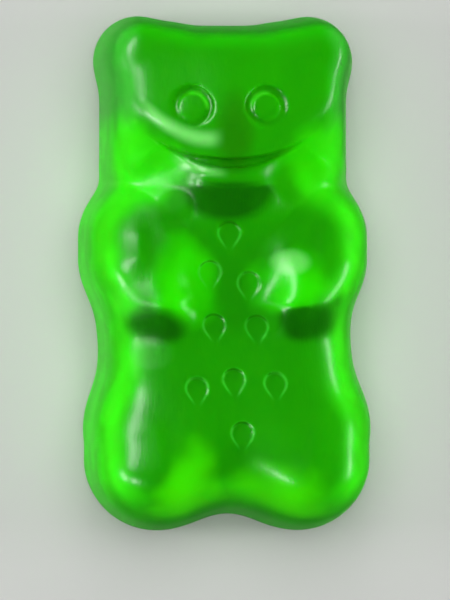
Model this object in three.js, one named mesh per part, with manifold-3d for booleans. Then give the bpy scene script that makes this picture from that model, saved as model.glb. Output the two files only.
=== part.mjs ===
// Gummy bear: a cast jelly sweet lying on its flat back with its face up.
// Millimetres. +Z out of the belly, +Y towards the ears, +X to the right seen from above.
import * as THREE from 'three';
import { mergeVertices } from 'three/addons/utils/BufferGeometryUtils.js';
import Module from 'manifold-3d';

const { lerp } = THREE.MathUtils;
const wasm = await Module();
wasm.setup();

// Outline of the cast, seen from above: panels have half sizes, bars have [x, y, radius] at each end.
const TRUNK = { y: -3.0, halfWide: 5.34, halfTall: 7.2, corner: 2.6 };
const CORE = { y: 0, halfWide: 4.3, halfTall: 9.0, corner: 2.0 };
const HEAD = { y: 6.7, halfWide: 5.2, halfTall: 3.74, corner: 1.7 };
const EAR = [[3.66, 9.05, 1.76], [2.6, 8.83, 1.72]];
const SHOULDER = [[3.78, 1.45, 2.26], [3.78, 0.55, 2.26]];
const HIP = [[3.25, -6.7, 2.78], [3.05, -8.0, 2.95]];
const NECK_BLEND = 1.2;
const EAR_BLEND = 0.8;
const SHOULDER_BLEND = 1.8;
const HIP_BLEND = 1.6;

// Flanks: they lean inwards from a foot and turn softly into the front, more tightly round the head.
const FLANK_WALL = { foot: 1.2, draft: 0.1 };
const FLANK_ROUND = { body: 4.0, head: 1.8, start: 4.0, run: 3.0 };
const FOOT_DRAFT = 0.1;

// The feet sit a little to the right, the face a little to the left.
const LEAN = { shift: 0.18, start: -1, run: 5 };
const FACE_SHIFT = -0.1;

// Belly, gently domed.
const BELLY = { top: 7.5, middle: -1.9, crossDome: 0.015, longDome: 0.006 };

// Face: a plate from the ears to the mouth that rises to the snout, with a bridge down its middle.
const FACE = { low: 8.2, rise: 1.2, start: 9.8, run: 4.8, dome: 0.008, edge: 1.5, blend: 1.6 };
const BRIDGE = { height: 0.2, halfWide: 1.7, start: 10.5, run: 5.0 };

// Smile: a curve where the upper lip slopes down, with a crescent pressed in and a lower lip under it.
const SMILE = { y: 4.4, bend: 0.1, half: 2.85, gape: 0.19, floor: 8.2 };
const UPPER_LIP = { foot: 8.3, draft: 0.9 };
const LOWER_LIP = { drop: 0.5, half: 0.45, height: 0.22 };

// Pads that stand on the belly. Each rises along its length and runs flat outwards from x = outer.
// Its walls lean by endDraft and melt in by endBlend at its end, and by draft and blend further up.
// It ends in a slope that starts at y = end and falls by fall for 1 across.
const JAW = [[0, 6.1, 3.5], [0, 4.4, 2.65]];
const JAW_TOP = { low: 8.7, rise: 0, start: 0, run: 1, middle: 0, outer: 9, dome: 0.03 };
const JAW_WALL = { foot: 7.3, draft: 1.4, endDraft: 0.6, edge: 0.9, blend: 2.0, endBlend: 1.0, swell: 1.6 };
const JAW_END = { top: 8.7, end: 3.45, fall: 0.85, round: 0.35 };
const ARM = [[4.3, 1.3, 2.6], [3.0, -1.45, 1.75]];
const ARM_TOP = { low: 6.7, rise: 2.2, start: 3.6, run: 5.25, middle: 3.3, outer: 3.3, dome: 0.03 };
const ARM_WALL = { foot: 7.4, draft: 1.0, endDraft: 0.7, edge: 0.9, blend: 1.1, endBlend: 0.9, swell: 2.2 };
const ARM_END = { top: 8.8, end: -1.65, fall: 0.8, round: 0.3 };
const LEG = [[3.15, -6.4, 2.8], [3.15, -8.2, 2.9]];
const LEG_TOP = { low: 7.4, rise: 1.4, start: -4.2, run: 5.2, middle: 3.3, outer: 3.3, dome: 0.03 };
const LEG_WALL = { foot: 7.4, draft: 1.1, endDraft: 1.1, edge: 1.2, blend: 2.2, endBlend: 2.2, swell: 1.6 };
const LEG_END = { top: 8.8, end: -12, fall: 0.95, round: 0.5 };

// Eyes: low domes, each in a round groove.
const EYE = { x: 1.52, middle: -0.08, y: 6.7, domeRadius: 1.15, domeSink: 1.0 };
const GROOVE = { radius: 0.72, round: 0.16, lift: 0.1 };

// Fur marks: drops with a slanted floor pressed into the belly, round end up, centres as [x, y].
const MARKS = [
  [-0.1, 1.38],
  [-0.9, -0.25], [0.7, -0.7],
  [-0.75, -2.45], [1.0, -2.5],
  [-1.6, -5.05], [-0.05, -4.7], [1.65, -4.85],
  [0.25, -6.9],
];
const MARK = { headY: 0.18, headRadius: 0.46, tipY: -0.76, depth: 0.12, tipDepth: 0.04, over: 1 };

// Fineness of the skin, and the spine its rays start from.
const SPINE_HALF = 6.4;
const SPINE_HEIGHT = 2.8;
const RAYS_ROUND = 76;
const RAYS_ALONG = 38;
const RAYS_CAP = 17;
const FRONT_BUNCHING = 0.4;
const RAY_REACH = 16;
const RAY_HALVINGS = 40;
const SKIRT = 1.2;
const SKIRT_EDGE = 0.5;
const SAW_SIZE = 60;
const MERGE_REACH = 1e-5;
const ROUND_STEPS = 24;
const DOME_RINGS = 16;
const GROOVE_SIDES = 10;
const MOUTH_STEPS = 20;
const MARK_STEPS = 7;

const GEL = new THREE.MeshStandardMaterial({ color: 0x1ba304, roughness: 0.25, metalness: 0 });
const SIDES = [-1, 1];
const UP = new THREE.Vector3(0, 0, 1);

function ease(t) {
  const u = Math.min(Math.max(t, 0), 1);
  return u * u * (3 - 2 * u);
}

// Soft union of two distances
function blend(a, b, reach) {
  const near = Math.max(reach - Math.abs(a - b), 0) / reach;
  return Math.min(a, b) - near * near * near * reach / 6;
}

// Soft overlap of two distances
function overlap(a, b, reach) {
  return -blend(-a, -b, reach);
}

// A plan distance whose wall leans inwards above its foot
function drafted(plan, z, { foot, draft }) {
  return (plan + (z - foot) * draft) / Math.hypot(1, draft);
}

// Plan distance to a round-ended bar whose width eases from one end to the other
function bar(x, y, [from, to], side = 1) {
  const [ax, ay, fromRadius] = [side * from[0], from[1], from[2]];
  const [alongX, alongY] = [side * to[0] - ax, to[1] - ay];
  const along = ((x - ax) * alongX + (y - ay) * alongY) / (alongX * alongX + alongY * alongY);
  const t = Math.min(Math.max(along, 0), 1);
  const radius = fromRadius + (to[2] - fromRadius) * ease(t);
  return Math.hypot(x - ax - t * alongX, y - ay - t * alongY) - radius;
}

// Plan distance to a round-cornered panel on the middle line
function panel(x, y, { y: middle, halfWide, halfTall, corner }) {
  const dx = Math.abs(x) - (halfWide - corner);
  const dy = Math.abs(y - middle) - (halfTall - corner);
  return Math.hypot(Math.max(dx, 0), Math.max(dy, 0)) + Math.min(Math.max(dx, dy), 0) - corner;
}

function leanAt(y) {
  return LEAN.shift * ease((LEAN.start - y) / LEAN.run);
}

function outline(x, y) {
  let plan = Math.min(panel(x, y, TRUNK), panel(x, y, CORE));
  plan = blend(plan, panel(x, y, HEAD), NECK_BLEND);
  for (const side of SIDES) {
    plan = blend(plan, bar(x, y, EAR, side), EAR_BLEND);
    plan = blend(plan, bar(x, y, SHOULDER, side), SHOULDER_BLEND);
    plan = blend(plan, bar(x, y, HIP, side), HIP_BLEND);
  }
  return plan;
}

function bellyTop(x, y) {
  return BELLY.top - BELLY.crossDome * x * x - BELLY.longDome * (y - BELLY.middle) ** 2;
}

function faceTop(x, y) {
  const across = 1 - ease(Math.abs(x) / BRIDGE.halfWide);
  const bridge = BRIDGE.height * across * ease((BRIDGE.start - y) / BRIDGE.run);
  return FACE.low + FACE.rise * ease((FACE.start - y) / FACE.run) - FACE.dome * x * x + bridge;
}

function smileLine(x) {
  return SMILE.y + SMILE.bend * x * x;
}

function face(x, y, z) {
  const lip = drafted(smileLine(x) - y, z, UPPER_LIP);
  return overlap(lip, z - faceTop(x, y), FACE.edge);
}

function lowerLip(x, y) {
  const offLine = Math.abs(y - (smileLine(x) - LOWER_LIP.drop));
  return LOWER_LIP.height * ease(1 - offLine / LOWER_LIP.half);
}

// Adds a pad that rises along its length, ends in a slope and melts in more softly further up
function withPad(form, x, y, z, [plan, top, wall, slope], lift = 0) {
  const swell = ease((y - slope.end) / wall.swell);
  const out = Math.min(x, top.outer);
  const across = out - top.middle;
  const cap = top.low + top.rise * ease((top.start - y) / top.run) - top.dome * across * across + lift;
  const end = (z - slope.top + (slope.end - y) * slope.fall) / Math.hypot(1, slope.fall);
  const draft = lerp(wall.endDraft, wall.draft, swell);
  const sides = drafted(bar(out, y, plan), z, { foot: wall.foot, draft });
  const pad = overlap(sides, overlap(z - cap, end, slope.round), wall.edge);
  return blend(form, pad, lerp(wall.endBlend, wall.blend, swell));
}

function relief(x, y, z) {
  const faceX = x - FACE_SHIFT;
  let form = z - bellyTop(x, y);
  form = blend(form, face(faceX, y, z), FACE.blend);
  form = withPad(form, faceX, y, z, [JAW, JAW_TOP, JAW_WALL, JAW_END], lowerLip(faceX, y));
  for (const limb of [[ARM, ARM_TOP, ARM_WALL, ARM_END], [LEG, LEG_TOP, LEG_WALL, LEG_END]]) {
    for (const side of SIDES) {
      form = withPad(form, side * x, y, z, limb);
    }
  }
  return form;
}

// The smooth sweet: negative inside, about a distance in millimetres
function skin(worldX, y, worldZ) {
  const x = worldX - leanAt(y);
  const z = Math.max(worldZ, FLANK_WALL.foot);
  const headward = ease((y - FLANK_ROUND.start) / FLANK_ROUND.run);
  const round = lerp(FLANK_ROUND.body, FLANK_ROUND.head, headward);
  let form = overlap(drafted(outline(x, y), z, FLANK_WALL), relief(x, y, z), round);
  form -= FOOT_DRAFT * Math.max(FLANK_WALL.foot - worldZ, 0);
  return overlap(form, -SKIRT - worldZ, SKIRT_EDGE);
}

function reach(start, way) {
  let inside = 0;
  let outside = RAY_REACH;
  for (let i = 0; i < RAY_HALVINGS; i += 1) {
    const middle = (inside + outside) / 2;
    const point = start.clone().addScaledVector(way, middle);
    if (skin(point.x, point.y, point.z) < 0) {
      inside = middle;
    } else {
      outside = middle;
    }
  }
  return inside;
}

// A capsule whose points slide out along their normals to the skin, closer together in front
function skinGeometry() {
  const geometry = new THREE.CapsuleGeometry(1, 2 * SPINE_HALF, RAYS_CAP, RAYS_ROUND, RAYS_ALONG);
  const points = geometry.attributes.position;
  const normals = geometry.attributes.normal;
  const way = new THREE.Vector3();
  for (let i = 0; i < points.count; i += 1) {
    way.fromBufferAttribute(normals, i);
    const wide = Math.hypot(way.x, way.z);
    const turn = Math.atan2(way.x, way.z);
    const bunched = turn - FRONT_BUNCHING * Math.sin(turn);
    way.set(wide * Math.sin(bunched), way.y, wide * Math.cos(bunched));
    const along = Math.min(Math.max(points.getY(i), -SPINE_HALF), SPINE_HALF);
    const start = new THREE.Vector3(0, along, SPINE_HEIGHT);
    const end = start.clone().addScaledVector(way, reach(start, way));
    points.setXYZ(i, end.x, end.y, end.z);
  }
  return geometry;
}

function toSolid(geometry) {
  geometry.deleteAttribute('normal');
  geometry.deleteAttribute('uv');
  const merged = mergeVertices(geometry, MERGE_REACH);
  const corners = merged.index.array;
  const kept = [];
  for (let i = 0; i < corners.length; i += 3) {
    const [a, b, c] = corners.slice(i, i + 3);
    if (a !== b && b !== c && c !== a) {
      kept.push(a, b, c);
    }
  }
  const mesh = new wasm.Mesh({
    numProp: 3,
    vertProperties: new Float32Array(merged.attributes.position.array),
    triVerts: new Uint32Array(kept),
  });
  return new wasm.Manifold(mesh);
}

function toGeometry(solid) {
  const mesh = solid.getMesh();
  const geometry = new THREE.BufferGeometry();
  geometry.setAttribute('position', new THREE.BufferAttribute(mesh.vertProperties, 3));
  geometry.setIndex(new THREE.BufferAttribute(mesh.triVerts, 1));
  geometry.computeVertexNormals();
  return geometry;
}

function flatBackSaw() {
  return toSolid(new THREE.BoxGeometry(SAW_SIZE, SAW_SIZE, SAW_SIZE).translate(0, 0, -SAW_SIZE / 2));
}

// Height of the front over a point of the back
function frontAt(x, y) {
  return SPINE_HEIGHT + reach(new THREE.Vector3(x, y, SPINE_HEIGHT), UP);
}

// Turns a shape made round +Z to stand square on the face at one eye, lifted off it
function onFace(geometry, side, lift) {
  const x = EYE.middle + side * EYE.x;
  const step = GROOVE.round;
  const slopeX = faceTop(x + step, EYE.y) - faceTop(x - step, EYE.y);
  const slopeY = faceTop(x, EYE.y + step) - faceTop(x, EYE.y - step);
  const square = new THREE.Vector3(-slopeX, -slopeY, 2 * step).normalize();
  const place = new THREE.Vector3(x + FACE_SHIFT, EYE.y, faceTop(x, EYE.y));
  place.addScaledVector(square, lift);
  geometry.applyQuaternion(new THREE.Quaternion().setFromUnitVectors(UP, square));
  return toSolid(geometry.translate(place.x, place.y, place.z));
}

function eyeDome(side) {
  const dome = new THREE.SphereGeometry(EYE.domeRadius, ROUND_STEPS, DOME_RINGS).rotateX(Math.PI / 2);
  return onFace(dome, side, -EYE.domeSink);
}

function eyeGroove(side) {
  const ring = new THREE.TorusGeometry(GROOVE.radius, GROOVE.round, GROOVE_SIDES, ROUND_STEPS);
  return onFace(ring, side, GROOVE.lift);
}

// A crescent between two parabolas that meet at the corners of the mouth
function mouthCutter() {
  const cornerY = smileLine(SMILE.half);
  const upperPull = 2 * (SMILE.y + SMILE.gape) - cornerY;
  const lowerPull = 2 * (SMILE.y - SMILE.gape) - cornerY;
  const crescent = new THREE.Shape();
  crescent.moveTo(-SMILE.half, cornerY);
  crescent.quadraticCurveTo(0, lowerPull, SMILE.half, cornerY);
  crescent.quadraticCurveTo(0, upperPull, -SMILE.half, cornerY);
  const settings = { depth: FACE.low, bevelEnabled: false, curveSegments: MOUTH_STEPS };
  const block = new THREE.ExtrudeGeometry(crescent, settings);
  return toSolid(block.translate(FACE_SHIFT, 0, SMILE.floor));
}

// A drop standing up from a floor that slants from its tip down to its round end
function markCutter([x, y]) {
  const reachY = MARK.headY - MARK.tipY;
  const length = reachY + MARK.headRadius;
  const turn = Math.asin(MARK.headRadius / reachY);
  const drop = new THREE.Shape();
  drop.moveTo(0, 0);
  drop.absarc(0, reachY, MARK.headRadius, -turn, Math.PI + turn, false);
  drop.closePath();
  const settings = { depth: MARK.over, bevelEnabled: false, curveSegments: MARK_STEPS };
  const placeX = x + leanAt(y);
  const tipY = y + MARK.tipY;
  const tipFloor = frontAt(placeX, tipY) - MARK.tipDepth;
  const middleFloor = frontAt(placeX, tipY + length / 2) - MARK.depth / 2;
  const headFloor = frontAt(placeX, tipY + length) - MARK.depth;
  const sag = Math.min(middleFloor - (tipFloor + headFloor) / 2, 0);
  const slant = Math.atan2(headFloor - tipFloor, length);
  const block = new THREE.ExtrudeGeometry(drop, settings).rotateX(slant);
  return toSolid(block.translate(placeX, tipY, tipFloor + sag));
}

function bear() {
  let solid = toSolid(skinGeometry());
  solid = solid.subtract(flatBackSaw());
  for (const side of SIDES) {
    solid = solid.add(eyeDome(side));
    solid = solid.subtract(eyeGroove(side));
  }
  solid = solid.subtract(mouthCutter());
  for (const mark of MARKS) {
    solid = solid.subtract(markCutter(mark));
  }
  return solid;
}

// Origin in the middle of the box round the sweet, on the flat back
function centred(geometry) {
  geometry.computeBoundingBox();
  const middle = geometry.boundingBox.getCenter(new THREE.Vector3());
  return geometry.translate(-middle.x, -middle.y, 0);
}

const sweet = new THREE.Mesh(centred(toGeometry(bear())), GEL);
sweet.name = 'gummy_bear';

const part = new THREE.Group();
part.add(sweet);

export default part;
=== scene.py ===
import math

import bpy
from mathutils import Matrix, Vector


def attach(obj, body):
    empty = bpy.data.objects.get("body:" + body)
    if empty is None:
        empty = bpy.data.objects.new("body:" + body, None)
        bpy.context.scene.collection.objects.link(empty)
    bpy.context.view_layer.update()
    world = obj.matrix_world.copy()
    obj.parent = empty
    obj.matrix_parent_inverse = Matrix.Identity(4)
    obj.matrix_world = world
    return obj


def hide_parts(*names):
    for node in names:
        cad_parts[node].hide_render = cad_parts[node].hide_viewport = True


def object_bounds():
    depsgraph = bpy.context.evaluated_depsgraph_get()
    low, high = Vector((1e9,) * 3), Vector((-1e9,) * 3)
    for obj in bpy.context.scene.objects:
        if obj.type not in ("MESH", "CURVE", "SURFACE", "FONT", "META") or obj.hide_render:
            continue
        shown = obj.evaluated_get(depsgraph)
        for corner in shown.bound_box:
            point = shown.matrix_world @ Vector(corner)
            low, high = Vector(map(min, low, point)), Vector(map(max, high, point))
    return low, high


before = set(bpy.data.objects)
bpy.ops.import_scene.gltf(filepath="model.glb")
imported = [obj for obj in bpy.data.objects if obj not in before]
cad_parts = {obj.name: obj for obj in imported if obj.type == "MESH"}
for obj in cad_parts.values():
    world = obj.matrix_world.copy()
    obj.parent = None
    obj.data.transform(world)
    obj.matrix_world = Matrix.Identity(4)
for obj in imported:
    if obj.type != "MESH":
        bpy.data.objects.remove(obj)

# A gummy bear of clear green jelly lying on its back on a pale table.
# The form is worked out in millimetres; MM turns it into the frame's metres.

CAD_LOW, CAD_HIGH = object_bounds()
FORM_TALL = 22.038
MM = (CAD_HIGH.y - CAD_LOW.y) / FORM_TALL
SIDES = (-1, 1)

# Sizes of the form. Bars are (x, y, radius) at each end, panels (half width, half height, corner).
OUTLINE = {
    "trunk": (5.34, 7.2, 2.6),
    "trunk_y": -3.0,
    "core": (4.3, 9.0, 2.0),
    "core_y": 0.0,
    "head": (5.2, 3.74, 1.7),
    "head_y": 6.7,
    "ear_outer": (3.66, 9.05, 1.76),
    "ear_inner": (2.6, 8.83, 1.72),
    "shoulder_upper": (3.78, 1.45, 2.26),
    "shoulder_lower": (3.78, 0.55, 2.26),
    "hip_upper": (3.25, -6.7, 2.78),
    "hip_lower": (3.05, -8.0, 2.95),
    "neck_blend": 1.2,
    "ear_blend": 0.8,
    "shoulder_blend": 1.8,
    "hip_blend": 1.6,
    "flank_lean": 0.1,
    "flank_round": 4.0,
    "flank_round_head": 1.8,
    "flank_change": 4.0,
    "flank_change_run": 3.0,
    "flank_height": 1.2,
    "flank_draft": 0.1,
    "rim_edge": 0.5,
    "lean_shift": 0.18,
    "lean_start": -1.0,
    "lean_run": 5.0,
}
BELLY = {
    "belly_top": 7.5,
    "belly_middle": -1.9,
    "belly_cross_dome": 0.015,
    "belly_long_dome": 0.006,
}
FACE = {
    "face_shift": -0.1,
    "face_low": 8.2,
    "face_rise": 1.2,
    "face_start": 9.8,
    "face_run": 4.8,
    "face_dome": 0.008,
    "face_edge": 1.5,
    "face_blend": 1.6,
    "bridge_height": 0.2,
    "bridge_half": 1.7,
    "bridge_start": 10.5,
    "bridge_run": 5.0,
    "lip_foot": 8.3,
    "lip_draft": 0.9,
    "lip_drop": 0.5,
    "lip_half": 0.45,
    "lip_height": 0.22,
    "smile_y": 4.4,
    "smile_bend": 0.1,
    "smile_half": 2.85,
    "smile_gape": 0.19,
    "smile_depth": 0.32,
    "smile_edge": 0.25,
    "eye_x": 1.52,
    "eye_y": 6.7,
    "eye_middle": -0.08,
    "eye_dome": 1.15,
    "eye_sink": 1.0,
    "eye_groove": 0.72,
    "eye_groove_round": 0.16,
    "eye_groove_lift": 0.11,
    "eye_edge": 0.13,
}
# Pads that stand on the belly. Each ends in a slope that starts at its end and falls by fall for 1 across.
PADS = {
    "jaw_upper": (0.0, 6.1, 3.5),
    "jaw_lower": (0.0, 4.4, 2.65),
    "jaw_low": 8.7,
    "jaw_rise": 0.0,
    "jaw_start": 0.0,
    "jaw_run": 1.0,
    "jaw_middle": 0.0,
    "jaw_outer": 9.0,
    "jaw_dome": 0.03,
    "jaw_foot": 7.3,
    "jaw_draft": 1.4,
    "jaw_end_draft": 0.6,
    "jaw_swell": 1.6,
    "jaw_end_top": 8.7,
    "jaw_end": 3.45,
    "jaw_fall": 0.85,
    "jaw_round": 0.35,
    "jaw_edge": 0.9,
    "jaw_blend": 2.0,
    "jaw_end_blend": 1.0,
    "arm_upper": (4.3, 1.3, 2.6),
    "arm_lower": (3.0, -1.45, 1.75),
    "arm_low": 6.7,
    "arm_rise": 2.2,
    "arm_start": 3.6,
    "arm_run": 5.25,
    "arm_middle": 3.3,
    "arm_outer": 3.3,
    "arm_dome": 0.03,
    "arm_foot": 7.4,
    "arm_draft": 1.0,
    "arm_end_draft": 0.7,
    "arm_swell": 2.2,
    "arm_end_top": 8.8,
    "arm_end": -1.65,
    "arm_fall": 0.8,
    "arm_round": 0.3,
    "arm_edge": 0.9,
    "arm_blend": 1.1,
    "arm_end_blend": 0.9,
    "leg_upper": (3.15, -6.4, 2.8),
    "leg_lower": (3.15, -8.2, 2.9),
    "leg_low": 7.4,
    "leg_rise": 1.4,
    "leg_start": -4.2,
    "leg_run": 5.2,
    "leg_middle": 3.3,
    "leg_outer": 3.3,
    "leg_dome": 0.03,
    "leg_foot": 7.4,
    "leg_draft": 1.1,
    "leg_end_draft": 1.1,
    "leg_swell": 1.6,
    "leg_end_top": 8.8,
    "leg_end": -12.0,
    "leg_fall": 0.95,
    "leg_round": 0.5,
    "leg_edge": 1.2,
    "leg_blend": 2.2,
    "leg_end_blend": 2.2,
}
# Fur marks: drops with a slanted floor, round end up.
FUR = {
    "mark_head_y": 0.18,
    "mark_head_radius": 0.46,
    "mark_tip_y": -0.7,
    "mark_tip_radius": 0.06,
    "mark_depth": 0.12,
    "mark_edge": 0.06,
}
SIZES = OUTLINE | BELLY | FACE | PADS | FUR

# Fur marks on the belly, from the chin down.
MARKS = (
    (-0.1, 1.38),
    (-0.9, -0.25), (0.7, -0.7),
    (-0.75, -2.45), (1.0, -2.5),
    (-1.6, -5.05), (-0.05, -4.7), (1.65, -4.85),
    (0.25, -6.9),
)

# Spots on the front of the sweet, as (x, y, half width, half height).
# Painted glows where light gathers in the arms, beside the neck and in the legs.
BODY_PAINTED_GLOWS = ((-1.8, -0.5, 1.7, 2.3), (2.4, -0.6, 1.9, 1.7), (-3.9, 4.4, 2.2, 1.8), (3.9, 4.4, 2.2, 1.8))
LEG_PAINTED_GLOWS = ((-1.9, -9.4, 1.7, 2.9), (1.7, -9.7, 2.4, 2.1))
GLOW_DRIFT = 2.0
# Painted shade from between the eyes down over the middle of the upper lip.
NOSE_SHADE = (0.05, 5.6, 1.0, 2.2)
# Painted shade on the undersides of the chin and the right paw is firm, that on the left paw soft.
FIRM_UNDER_SHADES = ((-0.2, 3.5, 2.45, 1.75), (3.2, -1.5, 1.75, 2.1))
FIRM_UNDER_SHADE = 1.8
SOFT_UNDER_SHADES = ((-3.4, -2.7, 1.9, 1.5),)
SOFT_UNDER_SHADE = 1.3
# A painted highlight on the inner slope of the right arm.
ARM_HIGHLIGHT = (2.4, 0.35, 1.0, 0.65)
# Where the skin is less glossy, and where a crease is shaded as if it were nearly level.
MATTES = ((-4.6, 7.2, 1.0, 2.2), (-3.0, 3.2, 1.6, 1.1), (-3.9, -1.3, 1.3, 0.9), (-3.4, -3.4, 1.1, 0.8))
FIRM_MATTE = 2.0
ROUGHNESS = 0.28
MATTE_MORE = 0.14
CALMS = ((3.1, 3.7, 1.9, 1.2), (-2.3, 2.7, 1.0, 0.9), (1.5, -2.0, 0.8, 0.8))
FIRM_CALM = 1.5
CALM_COVER = 0.7

# Painted highlights: bright bands that bend along the cheek and the lower lip.
CHEEK_HIGHLIGHT = {"middle_x": -0.9, "low_y": 5.38, "bend": 0.178, "left": -4.0, "right": -0.3, "half_wide": 0.5}
LIP_HIGHLIGHT = {"middle_x": 0.0, "low_y": 3.98, "bend": 0.105, "left": -2.7, "right": -0.1, "half_wide": 0.32}
HIGHLIGHT_FADE = 0.8
SMILE_SHADE = {"half_wide": 0.26, "fade": 0.5}
EYE_GLINT = {"radius": 0.6, "half_wide": 0.16, "upward": 0.75, "inward": 0.66, "start": 0.35, "run": 0.5}
MARK_LINE = 0.1

# Where a part of the colouring starts, and the run over which it comes in.
FRONT = (5.5, 1.5)
HEADWARD = (5.5, 1.5)
FOOT_END = (-8.6, 1.6)
FEET_FACING = (0.12, 0.4)
CHIN_TOP = (3.75, 0.3)
MARK_TIP = (0.15, 0.5)
HEAD_SIDE = (3.6, 0.8)
# Where the painted pale reflection at the outer edge comes in.
EDGE_SHEEN = (0.55, 0.5)
RIGHT_SHEEN = (3.0, 2.0)
FLANK_BAND = (0.35, 0.3)
RIM = (1.95, 1.1)
HEAD_RIM_LESS = 0.4

# Colours of the jelly in linear light, several of them painted glow, shade, reflection and highlight, and how
# strongly the later ones cover what lies under them.
DEEP_FRONT = (0.012, 0.38, 0.0)
LIGHT_FRONT = (0.02, 0.47, 0.0)
# Painted glow of the light inside the jelly on its steep sides, in dim and bright streaks.
DIM_FLANK_GLOW = (0.04, 0.72, 0.003)
BRIGHT_FLANK_GLOW = (0.05, 0.94, 0.006)
# Painted shade on the head's flank, deepest on top; at its sides also a painted grey sheen.
HEAD_TOP_FLANK_SHADE = (0.01, 0.46, 0.0)
HEAD_SIDE_SHADE_AND_SHEEN = (0.045, 0.42, 0.035)
HEAD_COVER = 0.8
# Painted shade on the flank at the feet ends.
FOOT_FLANK_SHADE = (0.015, 0.38, 0.0)
FOOT_COVER = 0.8
# A painted pale reflection along the outer edge of the sides, stronger on the right.
EDGE_SHEEN_COLOUR = (0.3, 0.92, 0.24)
EDGE_SHEEN_COVER = 0.25
RIGHT_SHEEN_MORE = 0.15
FRONT_LAYERS = {
    "body_painted_glow": (0.75, (0.04, 0.98, 0.0)),
    "leg_painted_glow": (0.75, (0.08, 0.98, 0.0)),
    "nose_shade": (0.6, (0.02, 0.24, 0.0)),
    "painted_under_shade": (0.9, (0.005, 0.16, 0.0)),
    "smile": (0.4, (0.007, 0.2, 0.0)),
    "mark_painted_light": (0.45, (0.08, 0.85, 0.05)),
    "mark_painted_shade": (0.6, (0.01, 0.22, 0.0)),
    "arm_highlight": (0.65, (0.3, 0.95, 0.24)),
    "cheek_highlight": (0.7, (0.3, 0.95, 0.24)),
    "lip_highlight": (0.5, (0.3, 0.95, 0.24)),
    "eye_glint": (0.7, (0.08, 0.95, 0.02)),
}

# How the jelly takes light, under the names of the shader's own sockets.
JELLY = {
    "IOR": 1.4,
    "Specular IOR Level": 0.5,
    "Transmission Weight": 0.15,
    "Subsurface Weight": 1.0,
    "Subsurface Radius": (0.4, 1.0, 0.3),
    "Subsurface Scale": 0.3 * MM,
}
CLEAR_GREEN = (0.0, 0.8, 0.0, 1.0)
CLEAR_DENSITY = 325
DRIFT_NOISE = {"Scale": 0.45, "Detail": 2.0}
FLANK_NOISE = {"Scale": 0.5, "Detail": 1.0}
GRAIN_NOISE = {"Scale": 1.5, "Detail": 3.0}
GRAIN_ACROSS = 7.0
GRAIN_ALONG = 1.6
GRAIN_BUMP = {"Strength": 0.25, "Distance": 0.03 * MM}

# The mesh: grid step, steps that settle its points on the skin, and room round the sweet.
VOXEL = 0.112
SKIN_LEVEL = 0.5
SETTLING_STEPS = 4
BOX_MARGIN = 0.6

# The table, in metres.
TABLE_COLOUR = (0.55, 0.55, 0.54, 1.0)
TABLE_ROUGHNESS = 0.6
TABLE_HALF = 1.5
TABLE_DROP = 0.03 * MM

# Lamps: place and sizes in metres, power in watts.
ROOM_LIGHT = 0.03
LAMP_AIM = Vector((0.0, 0.0, 4.0)) * MM
SOFT_FILLS = {
    "overhead_fill": ((0.0, 0.03, 0.25), 0.2, 0.55),
    "left_fill": ((-0.2, 0.0, 0.03), 0.06, 0.3),
    "right_fill": ((0.2, 0.0, 0.03), 0.06, 0.26),
    "upper_fill": ((0.0, 0.2, 0.03), 0.06, 0.18),
    "lower_fill": ((0.0, -0.2, 0.03), 0.06, 0.12),
}
GLOSS_STRIPS = {
    "left_strip": ((-0.14, 0.1, 0.11), 0.16, 0.05, 0.3),
    "cheek_strip": ((-0.155, -0.09, 0.1), 0.06, 0.045, 0.16),
    "low_left_strip": ((-0.19, -0.05, 0.02), 0.08, 0.03, 0.15),
    "right_strip": ((0.2, 0.0, 0.012), 0.16, 0.02, 0.15),
}

# The camera looks down from a little to the left of straight above.
CAMERA_TILT = math.radians(3.0)
CAMERA_DISTANCE = 0.2
CAMERA_AIM = Vector((-0.12, -1.14, 3.0)) * MM
VIEW_HEIGHT = 25.35 * MM
SENSOR_HEIGHT = 24.0
CLIP_START = 0.01


class Amount:
    """A socket of a node tree that takes part in ordinary sums."""

    def __init__(self, tree, socket):
        self.tree = tree
        self.socket = socket

    def make(self, kind, settings, inputs, output=0):
        node = self.tree.nodes.new(kind)
        for name, value in settings.items():
            setattr(node, name, value)
        for name, value in inputs.items():
            if isinstance(value, Amount):
                self.tree.links.new(value.socket, node.inputs[name])
            else:
                node.inputs[name].default_value = value
        return Amount(self.tree, node.outputs[output])

    def sum(self, operation, *values):
        return self.make("ShaderNodeMath", {"operation": operation}, dict(enumerate(values)))

    def __add__(self, other):
        return self.sum("ADD", self, other)

    def __radd__(self, other):
        return self.sum("ADD", other, self)

    def __sub__(self, other):
        return self.sum("SUBTRACT", self, other)

    def __rsub__(self, other):
        return self.sum("SUBTRACT", other, self)

    def __mul__(self, other):
        return self.sum("MULTIPLY", self, other)

    def __rmul__(self, other):
        return self.sum("MULTIPLY", other, self)

    def __truediv__(self, other):
        return self.sum("DIVIDE", self, other)

    def __rtruediv__(self, other):
        return self.sum("DIVIDE", other, self)

    def __neg__(self):
        return self.sum("MULTIPLY", self, -1.0)

    def __abs__(self):
        return self.sum("ABSOLUTE", self)

    def least(self, other):
        return self.sum("MINIMUM", self, other)

    def most(self, other):
        return self.sum("MAXIMUM", self, other)

    def root(self):
        return self.sum("SQRT", self)

    def eased(self):
        return self.make("ShaderNodeMapRange", {"interpolation_type": "SMOOTHSTEP"}, {"Value": self})

    def parts(self):
        split = self.make("ShaderNodeSeparateXYZ", {}, {0: self}).socket.node
        return [Amount(self.tree, socket) for socket in split.outputs]


def mixed(factor, first, second):
    """A colour between two others."""
    def full(colour):
        return colour if isinstance(colour, Amount) else (*colour, 1.0)
    settings = {"data_type": "RGBA"}
    return factor.make("ShaderNodeMix", settings, {0: factor, 6: full(first), 7: full(second)}, 2)


def blend(a, b, reach):
    return a.sum("SMOOTH_MIN", a, b, reach)


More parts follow.
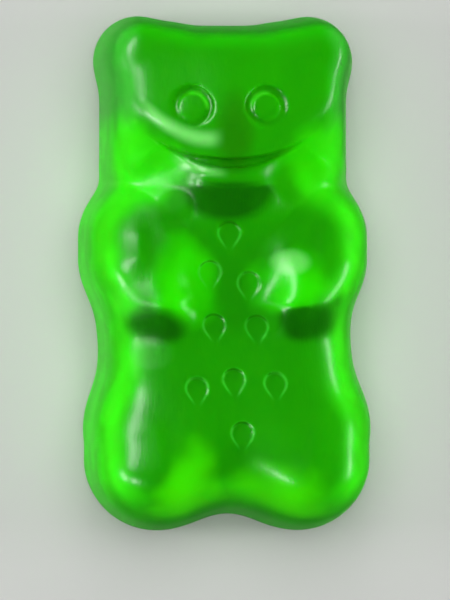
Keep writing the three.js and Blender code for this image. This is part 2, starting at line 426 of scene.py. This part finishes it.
def overlap(a, b, reach):
    return a.sum("SMOOTH_MAX", a, b, reach)


def rising(value, start, run):
    """0 up to the start, 1 from a run above it."""
    return ((value - start) / run).eased()


def falling(value, start, run):
    """0 down to the start, 1 from a run below it."""
    return ((start - value) / run).eased()


def nearest(amounts):
    least = amounts[0]
    for amount in amounts[1:]:
        least = least.least(amount)
    return least


def length_of(*parts):
    total = parts[0] * parts[0]
    for part in parts[1:]:
        total = total + part * part
    return total.root()


def bar(x, y, start, end, side=1):
    """Plan distance to a round-ended bar whose width eases from one end to the other."""
    start_x, start_y, start_radius = start
    end_x, end_y, end_radius = end
    along_x = (end_x - start_x) * side
    along_y = end_y - start_y
    from_x = x - start_x * side
    from_y = y - start_y
    along = (from_x * along_x + from_y * along_y) / (along_x * along_x + along_y * along_y)
    along = along.most(0.0).least(1.0)
    radius = start_radius + (end_radius - start_radius) * along.eased()
    return length_of(from_x - along * along_x, from_y - along * along_y) - radius


def panel(x, y, middle, shape):
    """Plan distance to a round-cornered panel on the middle line."""
    half_wide, half_tall, corner = shape
    over_x = abs(x) - (half_wide - corner)
    over_y = abs(y - middle) - (half_tall - corner)
    outside = length_of(over_x.most(0.0), over_y.most(0.0))
    return outside + over_x.most(over_y).least(0.0) - corner


def drafted(plan, z, foot, draft):
    """A plan distance whose wall leans inwards above its foot."""
    return (plan + (z - foot) * draft) / (draft * draft + 1.0).root()


class BearForm:
    """The sweet as a distance in millimetres, negative inside, written with node sockets."""

    def __init__(self, size):
        self.size = size

    def belly_top(self, x, y):
        size = self.size
        down = y - size["belly_middle"]
        dome = size["belly_cross_dome"] * x * x + size["belly_long_dome"] * down * down
        return size["belly_top"] - dome

    def face_top(self, x, y):
        size = self.size
        rise = size["face_rise"] * falling(y, size["face_start"], size["face_run"])
        across = 1.0 - (abs(x) / size["bridge_half"]).eased()
        bridge = size["bridge_height"] * across * falling(y, size["bridge_start"], size["bridge_run"])
        return size["face_low"] + rise - size["face_dome"] * x * x + bridge

    def smile_line(self, x):
        return self.size["smile_y"] + self.size["smile_bend"] * x * x

    def outline(self, x, y):
        size = self.size
        plan = panel(x, y, size["trunk_y"], size["trunk"]).least(panel(x, y, size["core_y"], size["core"]))
        plan = blend(plan, panel(x, y, size["head_y"], size["head"]), size["neck_blend"])
        for side in SIDES:
            ear = bar(x, y, size["ear_outer"], size["ear_inner"], side)
            plan = blend(plan, ear, size["ear_blend"])
            shoulder = bar(x, y, size["shoulder_upper"], size["shoulder_lower"], side)
            plan = blend(plan, shoulder, size["shoulder_blend"])
            hip = bar(x, y, size["hip_upper"], size["hip_lower"], side)
            plan = blend(plan, hip, size["hip_blend"])
        return plan

    def face(self, x, y, z):
        size = self.size
        lip = drafted(self.smile_line(x) - y, z, size["lip_foot"], size["lip_draft"])
        return overlap(lip, z - self.face_top(x, y), size["face_edge"])

    def lower_lip(self, x, y):
        size = self.size
        off_line = abs(y - (self.smile_line(x) - size["lip_drop"]))
        return size["lip_height"] * (1.0 - off_line / size["lip_half"]).eased()

    def with_pad(self, form, x, y, z, name):
        """Adds a pad that rises along its length, ends in a slope and melts in more softly further up."""
        size = {key[len(name) + 1:]: value for key, value in self.size.items() if key.startswith(name + "_")}
        swell = rising(y, size["end"], size["swell"])
        out = x.least(size["outer"])
        across = out - size["middle"]
        rise = size["rise"] * falling(y, size["start"], size["run"])
        top = size["low"] + rise - size["dome"] * across * across
        if name == "jaw":
            top = top + self.lower_lip(x, y)
        slope = drafted(z - size["end_top"], size["end"], y, size["fall"])
        draft = size["end_draft"] + (size["draft"] - size["end_draft"]) * swell
        wall = drafted(bar(out, y, size["upper"], size["lower"]), z, size["foot"], draft)
        pad = overlap(wall, overlap(z - top, slope, size["round"]), size["edge"])
        return blend(form, pad, size["end_blend"] + (size["blend"] - size["end_blend"]) * swell)

    def relief(self, x, y, z):
        size = self.size
        face_x = x - size["face_shift"]
        form = z - self.belly_top(x, y)
        form = blend(form, self.face(face_x, y, z), size["face_blend"])
        form = self.with_pad(form, face_x, y, z, "jaw")
        for name in ("arm", "leg"):
            for side in SIDES:
                form = self.with_pad(form, x * side, y, z, name)
        return form

    def press_eyes(self, form, x, y, z):
        size = self.size
        above = z - self.face_top(x, y)
        for side in SIDES:
            away = length_of(x - size["eye_middle"] - size["eye_x"] * side, y - size["eye_y"])
            dome = length_of(away, above + size["eye_sink"]) - size["eye_dome"]
            form = blend(form, dome, size["eye_edge"])
            groove = length_of(away - size["eye_groove"], above - size["eye_groove_lift"])
            groove = groove - size["eye_groove_round"]
            form = overlap(form, -groove, size["eye_edge"])
        return form

    def press_smile(self, form, x, y, relief):
        size = self.size
        tilt = size["smile_bend"] * x * 2.0
        off_line = abs(y - self.smile_line(x)) / (tilt * tilt + 1.0).root()
        taper = x / size["smile_half"]
        gape = size["smile_gape"] * (1.0 - taper * taper)
        slot = overlap(off_line - gape, -relief - size["smile_depth"], size["smile_edge"])
        return overlap(form, -slot, size["smile_edge"])

    def mark_plan(self, x, y, mark):
        """Plan distance to the edge of a drop-shaped fur mark."""
        size = self.size
        mark_x, mark_y = mark
        head = (mark_x, size["mark_head_y"] + mark_y, size["mark_head_radius"])
        tip = (mark_x, size["mark_tip_y"] + mark_y, size["mark_tip_radius"])
        return bar(x, y, head, tip)

    def press_mark(self, form, x, y, relief, mark):
        size = self.size
        lowest = size["mark_tip_y"] - size["mark_tip_radius"]
        length = size["mark_head_y"] + size["mark_head_radius"] - lowest
        up_the_mark = (y - mark[1] - lowest) / length
        floor = -relief - size["mark_depth"] * up_the_mark
        drop = overlap(self.mark_plan(x, y, mark), floor, size["mark_edge"])
        return overlap(form, -drop, size["mark_edge"])

    def nearest_mark(self, world_x, y):
        """Plan distances to the edge and to the tip of the nearest fur mark."""
        x = self.straightened(world_x, y)
        edges = [self.mark_plan(x, y, mark) for mark in MARKS]
        tips = [length_of(x - mark_x, y - mark_y - self.size["mark_tip_y"]) for mark_x, mark_y in MARKS]
        return nearest(edges), nearest(tips)

    def straightened(self, world_x, y):
        size = self.size
        return world_x - size["lean_shift"] * falling(y, size["lean_start"], size["lean_run"])

    def inset(self, world_x, y):
        """How far a point lies inside the outline, seen from above."""
        return -self.outline(self.straightened(world_x, y), y)

    def whole(self, world_x, y, world_z):
        size = self.size
        x = self.straightened(world_x, y)
        z = world_z.most(size["flank_height"])
        relief = self.relief(x, y, z)
        headward = rising(y, size["flank_change"], size["flank_change_run"])
        flank_round = size["flank_round"] + (size["flank_round_head"] - size["flank_round"]) * headward
        wall = drafted(self.outline(x, y), z, size["flank_height"], size["flank_lean"])
        form = overlap(wall, relief, flank_round)
        face_x = x - size["face_shift"]
        form = self.press_eyes(form, face_x, y, z)
        form = self.press_smile(form, face_x, y, relief)
        for mark in MARKS:
            form = self.press_mark(form, x, y, relief, mark)
        form = form - size["flank_draft"] * (size["flank_height"] - world_z).most(0.0)
        return overlap(form, -world_z, size["rim_edge"])


def bear_tree(material):
    """Works out the form at every point, meshes it and keeps what the colours need."""
    tree = bpy.data.node_groups.new("cast_bear", "GeometryNodeTree")
    tree.interface.new_socket("Geometry", in_out="OUTPUT", socket_type="NodeSocketGeometry")
    for name, value in SIZES.items():
        kind = "NodeSocketVector" if isinstance(value, tuple) else "NodeSocketFloat"
        tree.interface.new_socket(name, in_out="INPUT", socket_type=kind)
    group_in = tree.nodes.new("NodeGroupInput")
    size = {}
    for name, value in SIZES.items():
        amount = Amount(tree, group_in.outputs[name])
        size[name] = amount.parts() if isinstance(value, tuple) else amount
    start = Amount(tree, group_in.outputs[0])
    position = start.make("GeometryNodeInputPosition", {}, {})
    place = [part / MM for part in position.parts()]
    sweet = BearForm(size)
    mesh = settled_mesh(start, sweet.whole(*place))
    mesh = with_kept_values(start, mesh, sweet, place)
    mesh = start.make("GeometryNodeRealizeInstances", {}, {"Geometry": mesh})
    mesh = start.make("GeometryNodeSetMaterial", {}, {"Geometry": mesh, "Material": material})
    group_out = tree.nodes.new("NodeGroupOutput")
    tree.links.new(mesh.socket, group_out.inputs[0])
    return tree


def settled_mesh(start, form):
    """Meshes a grid of distances, then settles every point on the exact skin."""
    low = [value - BOX_MARGIN * MM for value in CAD_LOW]
    high = [value + BOX_MARGIN * MM for value in CAD_HIGH]
    counts = [math.ceil((high[axis] - low[axis]) / (VOXEL * MM)) for axis in range(3)]
    grid = start.make(
        "GeometryNodeVolumeCube", {},
        {"Density": SKIN_LEVEL - form, "Background": 0.0, "Min": low, "Max": high,
         "Resolution X": counts[0], "Resolution Y": counts[1], "Resolution Z": counts[2]},
    )
    grid_skin = {"Volume": grid, "Threshold": SKIN_LEVEL}
    mesh = start.make("GeometryNodeVolumeToMesh", {"resolution_mode": "GRID"}, grid_skin)
    normal = start.make("GeometryNodeInputNormal", {}, {})
    shift = start.make("ShaderNodeVectorMath", {"operation": "SCALE"}, {0: normal, "Scale": form * -MM})
    for _ in range(SETTLING_STEPS):
        mesh = start.make("GeometryNodeSetPosition", {}, {"Geometry": mesh, "Offset": shift})
    return start.make("GeometryNodeSetShadeSmooth", {}, {"Geometry": mesh})


def with_kept_values(start, mesh, sweet, place):
    """Stores on each point where it lies on the form, for the colours."""
    x, y, z = place
    mark_edge, mark_tip = sweet.nearest_mark(x, y)
    kept = (
        ("form_place", "FLOAT_VECTOR",
         start.make("ShaderNodeCombineXYZ", {}, {0: sweet.straightened(x, y), 1: y, 2: z})),
        ("lie", "FLOAT_VECTOR", start.make("GeometryNodeInputNormal", {}, {})),
        ("inset", "FLOAT", sweet.inset(x, y)),
        ("off_mark", "FLOAT", mark_edge),
        ("off_tip", "FLOAT", mark_tip),
    )
    for name, kind, value in kept:
        settings = {"data_type": kind, "domain": "POINT"}
        inputs = {"Geometry": mesh, "Name": name, "Value": value}
        mesh = start.make("GeometryNodeStoreNamedAttribute", settings, inputs)
    return mesh


def cast_bear(material):
    holder = bpy.data.objects.new("bear_holder", bpy.data.meshes.new("bear_holder"))
    bpy.context.collection.objects.link(holder)
    tree = bear_tree(material)
    modifier = holder.modifiers.new("cast", "NODES")
    modifier.node_group = tree
    for item in tree.interface.items_tree:
        if item.in_out == "INPUT":
            modifier[item.identifier] = SIZES[item.name]
    evaluated = holder.evaluated_get(bpy.context.evaluated_depsgraph_get())
    mesh = bpy.data.meshes.new_from_object(evaluated)
    holder.modifiers.remove(modifier)
    bpy.data.objects.remove(holder)
    mesh.name = "gummy_bear_jelly"
    centre_on_cad(mesh)
    bear = bpy.data.objects.new("gummy_bear_jelly", mesh)
    bpy.context.collection.objects.link(bear)
    return bear


def centre_on_cad(mesh):
    for axis in range(2):
        values = [vertex.co[axis] for vertex in mesh.vertices]
        middle = (min(values) + max(values)) / 2
        move = Vector((0, 0, 0))
        move[axis] = (CAD_LOW[axis] + CAD_HIGH[axis]) / 2 - middle
        mesh.transform(Matrix.Translation(move))


class Skin:
    """Where a point lies on the sweet, and what its colour depends on there."""

    def __init__(self, tree):
        self.start = Amount(tree, None)
        self.place = self.kept("form_place", "Vector")
        self.x, self.y, self.z = self.place.parts()
        self.face_x = self.x - FACE["face_shift"]
        self.inset = self.kept("inset", "Fac")
        self.front = rising(self.z, *FRONT)
        self.headward = rising(self.y, *HEADWARD)
        self.feet_facing = rising(-self.kept("lie", "Vector").parts()[1], *FEET_FACING)
        self.drift_x, self.drift_y, self.clouds = self.noise(self.place, DRIFT_NOISE, "Color").parts()

    def kept(self, name, output):
        return self.start.make("ShaderNodeAttribute", {"attribute_name": name}, {}, output)

    def noise(self, place, shape, output=0):
        return self.start.make("ShaderNodeTexNoise", {}, {"Vector": place} | shape, output)

    def spots(self, places, times=1.0):
        """Soft ovals; times above 1 make their edges firmer."""
        return (spots(self.x, self.y, places) * times).least(1.0)

    def glow(self, places):
        """Ovals of painted glow with wandering edges."""
        x = self.x + (self.drift_x - 0.5) * GLOW_DRIFT
        y = self.y + (self.drift_y - 0.5) * GLOW_DRIFT
        return spots(x, y, places)

    def painted_under_shade(self):
        """Painted shade on the undersides of the chin and paws."""
        firm = self.spots(FIRM_UNDER_SHADES, FIRM_UNDER_SHADE) * falling(self.y, *CHIN_TOP)
        return firm.most(self.spots(SOFT_UNDER_SHADES, SOFT_UNDER_SHADE)) * self.feet_facing

    def mark_line(self):
        """The edge of a fur mark, fading out at its tip."""
        line = (1.0 - abs(self.kept("off_mark", "Fac")) / MARK_LINE).eased()
        return line * rising(self.kept("off_tip", "Fac"), *MARK_TIP)

    # Painted shadow along the mouth line, fading towards its corners.
    def smile(self):
        off_smile = abs(self.y - FACE["smile_y"] - FACE["smile_bend"] * self.face_x * self.face_x)
        line = (1.0 - off_smile / SMILE_SHADE["half_wide"]).eased()
        return line * falling(abs(self.face_x), FACE["smile_half"], SMILE_SHADE["fade"])

    def highlight_band(self, shape):
        """A soft painted highlight along a bent ridge of the face."""
        off_x = self.x - shape["middle_x"]
        off_band = abs(self.y - shape["low_y"] - shape["bend"] * off_x * off_x)
        ends = rising(self.x, shape["left"], HIGHLIGHT_FADE) * falling(self.x, shape["right"], HIGHLIGHT_FADE)
        return (1.0 - off_band / shape["half_wide"]).eased() * ends

    def eye_glint(self, side):
        """A painted glint: a crescent on the inner upper side of an eye, where the dome gathers light."""
        off_x = self.face_x - FACE["eye_middle"] - FACE["eye_x"] * side
        off_y = self.y - FACE["eye_y"]
        away = length_of(off_x, off_y)
        ring = (1.0 - abs(away - EYE_GLINT["radius"]) / EYE_GLINT["half_wide"]).eased()
        inner_upper = (off_y * EYE_GLINT["upward"] - off_x * EYE_GLINT["inward"] * side) / away
        return ring * rising(inner_upper, EYE_GLINT["start"], EYE_GLINT["run"])


def spot(x, y, place):
    """A soft oval, 1 in its middle and 0 outside."""
    middle_x, middle_y, half_wide, half_tall = place
    across = (x - middle_x) / half_wide
    along = (y - middle_y) / half_tall
    return (1.0 - (across * across + along * along)).eased()


def spots(x, y, places):
    total = spot(x, y, places[0])
    for place in places[1:]:
        total = total.most(spot(x, y, place))
    return total


def painted_flank_light(skin):
    """The steep sides in painted light: a painted glow of the light inside, painted shade that leaves head
    and feet deeper, a painted pale reflection at the outer edge.
    """
    glow_bands = rising(skin.noise(skin.place, FLANK_NOISE), *FLANK_BAND)
    flank = mixed(glow_bands, DIM_FLANK_GLOW, BRIGHT_FLANK_GLOW)
    head = mixed(rising(abs(skin.x), *HEAD_SIDE), HEAD_TOP_FLANK_SHADE, HEAD_SIDE_SHADE_AND_SHEEN)
    flank = mixed(skin.headward * HEAD_COVER, flank, head)
    flank = mixed(falling(skin.y, *FOOT_END) * FOOT_COVER, flank, FOOT_FLANK_SHADE)
    sheen_cover = rising(skin.x, *RIGHT_SHEEN) * RIGHT_SHEEN_MORE + EDGE_SHEEN_COVER
    return mixed(falling(skin.inset, *EDGE_SHEEN) * sheen_cover, flank, EDGE_SHEEN_COLOUR)


def front_masks(skin):
    """Where each layer of the front shows, from the lowest layer up."""
    mark_line = skin.mark_line()
    masks = [
        ("body_painted_glow", skin.glow(BODY_PAINTED_GLOWS)),
        ("leg_painted_glow", skin.glow(LEG_PAINTED_GLOWS)),
        ("nose_shade", skin.spots((NOSE_SHADE,))),
        ("painted_under_shade", skin.painted_under_shade()),
        ("smile", skin.smile()),
        # Painted light along the fur marks' edges, and painted shade where an edge faces the feet.
        ("mark_painted_light", mark_line * (1.0 - skin.feet_facing)),
        ("mark_painted_shade", mark_line * skin.feet_facing),
        ("arm_highlight", skin.spots((ARM_HIGHLIGHT,))),
        ("cheek_highlight", skin.highlight_band(CHEEK_HIGHLIGHT)),
        ("lip_highlight", skin.highlight_band(LIP_HIGHLIGHT)),
    ]
    return masks + [("eye_glint", skin.eye_glint(side)) for side in SIDES]


def jelly_colour(skin):
    rim_start, rim_run = RIM
    less = skin.headward * HEAD_RIM_LESS
    rim = falling(skin.inset, rim_start - less, rim_run - less)
    colour = mixed(skin.clouds, DEEP_FRONT, LIGHT_FRONT)
    colour = mixed(rim, colour, painted_flank_light(skin))
    for name, mask in front_masks(skin):
        cover, layer = FRONT_LAYERS[name]
        colour = mixed(mask * skin.front * cover, colour, layer)
    return colour


def jelly_normal(skin):
    """A fine grain drawn out along the sweet, with a few creases shaded as if nearly level."""
    stretched = {0: skin.x * GRAIN_ACROSS, 1: skin.y * GRAIN_ALONG, 2: skin.z * GRAIN_ALONG}
    streaks = skin.start.make("ShaderNodeCombineXYZ", {}, stretched)
    grain = skin.noise(streaks, GRAIN_NOISE)
    bump = skin.start.make("ShaderNodeBump", {}, GRAIN_BUMP | {"Height": grain})
    turned = {"vector_type": "NORMAL", "convert_from": "OBJECT", "convert_to": "WORLD"}
    level = skin.start.make("ShaderNodeVectorTransform", turned, {0: (0.0, 0.0, 1.0)})
    calm = skin.spots(CALMS, FIRM_CALM) * skin.front * CALM_COVER
    calmed = skin.start.make("ShaderNodeMix", {"data_type": "VECTOR"}, {0: calm, 4: bump, 5: level}, 1)
    return skin.start.make("ShaderNodeVectorMath", {"operation": "NORMALIZE"}, {0: calmed})


def green_jelly():
    """Jelly with painted light in its colour: steep sides carry a painted glow of the light inside, flat
    fronts are deeper, painted shade makes the hollows darkest.
    """
    material = bpy.data.materials.new("green_jelly")
    material.use_nodes = True
    tree = material.node_tree
    shader = tree.nodes["Principled BSDF"]
    skin = Skin(tree)
    roughness = skin.spots(MATTES, FIRM_MATTE) * skin.front * MATTE_MORE + ROUGHNESS
    tree.links.new(jelly_colour(skin).socket, shader.inputs["Base Color"])
    tree.links.new(jelly_normal(skin).socket, shader.inputs["Normal"])
    tree.links.new(roughness.socket, shader.inputs["Roughness"])
    for name, value in JELLY.items():
        shader.inputs[name].default_value = value
    clear = {"Color": CLEAR_GREEN, "Density": CLEAR_DENSITY}
    absorb = skin.start.make("ShaderNodeVolumeAbsorption", {}, clear)
    tree.links.new(absorb.socket, tree.nodes["Material Output"].inputs["Volume"])
    return material


def pale_table():
    material = bpy.data.materials.new("pale_table")
    material.use_nodes = True
    shader = material.node_tree.nodes["Principled BSDF"]
    shader.inputs["Base Color"].default_value = TABLE_COLOUR
    shader.inputs["Roughness"].default_value = TABLE_ROUGHNESS
    corners = [(x * TABLE_HALF, y * TABLE_HALF, -TABLE_DROP) for x, y in ((-1, -1), (1, -1), (1, 1), (-1, 1))]
    mesh = bpy.data.meshes.new("table")
    mesh.from_pydata(corners, [], [(0, 1, 2, 3)])
    mesh.materials.append(material)
    table = bpy.data.objects.new("table", mesh)
    bpy.context.collection.objects.link(table)
    table.visible_glossy = False


def panel_light(name, place, width, height, watts):
    data = bpy.data.lights.new(name, "AREA")
    data.shape = "ELLIPSE"
    data.size = width
    data.size_y = height
    data.energy = watts
    lamp = bpy.data.objects.new(name, data)
    lamp.location = place
    lamp.rotation_euler = (LAMP_AIM - Vector(place)).to_track_quat("-Z", "Y").to_euler()
    bpy.context.collection.objects.link(lamp)
    return lamp


def soft_fill(name, place, size, watts):
    """Light that the jelly takes in, with no mirror image on its skin."""
    lamp = panel_light(name, place, size, size, watts)
    lamp.visible_glossy = False
    lamp.visible_transmission = False


def gloss_strip(name, place, width, height, watts):
    """Light that only shows as a streak on the skin."""
    lamp = panel_light(name, place, width, height, watts)
    lamp.visible_diffuse = False
    lamp.visible_transmission = False


def studio_light():
    world = bpy.data.worlds.new("soft_room")
    bpy.context.scene.world = world
    world.use_nodes = True
    background = world.node_tree.nodes["Background"]
    background.inputs["Color"].default_value = (1, 1, 1, 1)
    background.inputs["Strength"].default_value = ROOM_LIGHT
    for name, fill in SOFT_FILLS.items():
        soft_fill(name, *fill)
    for name, strip in GLOSS_STRIPS.items():
        gloss_strip(name, *strip)


def camera():
    back = Vector((-math.tan(CAMERA_TILT), 0, 1)).normalized()
    right = Vector((0, 1, 0)).cross(back).normalized()
    up = back.cross(right)
    data = bpy.data.cameras.new("camera")
    data.sensor_fit = "VERTICAL"
    data.sensor_height = SENSOR_HEIGHT
    data.lens = SENSOR_HEIGHT * CAMERA_DISTANCE / VIEW_HEIGHT
    data.clip_start = CLIP_START
    shot = bpy.data.objects.new("camera", data)
    turn = Matrix((right, up, back)).transposed().to_4x4()
    shot.matrix_world = Matrix.Translation(CAMERA_AIM + back * CAMERA_DISTANCE) @ turn
    bpy.context.collection.objects.link(shot)
    bpy.context.scene.camera = shot


bear = cast_bear(green_jelly())
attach(bear, "root")
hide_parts("gummy_bear")
pale_table()
studio_light()
camera()
bpy.context.scene.view_settings.view_transform = "Standard"
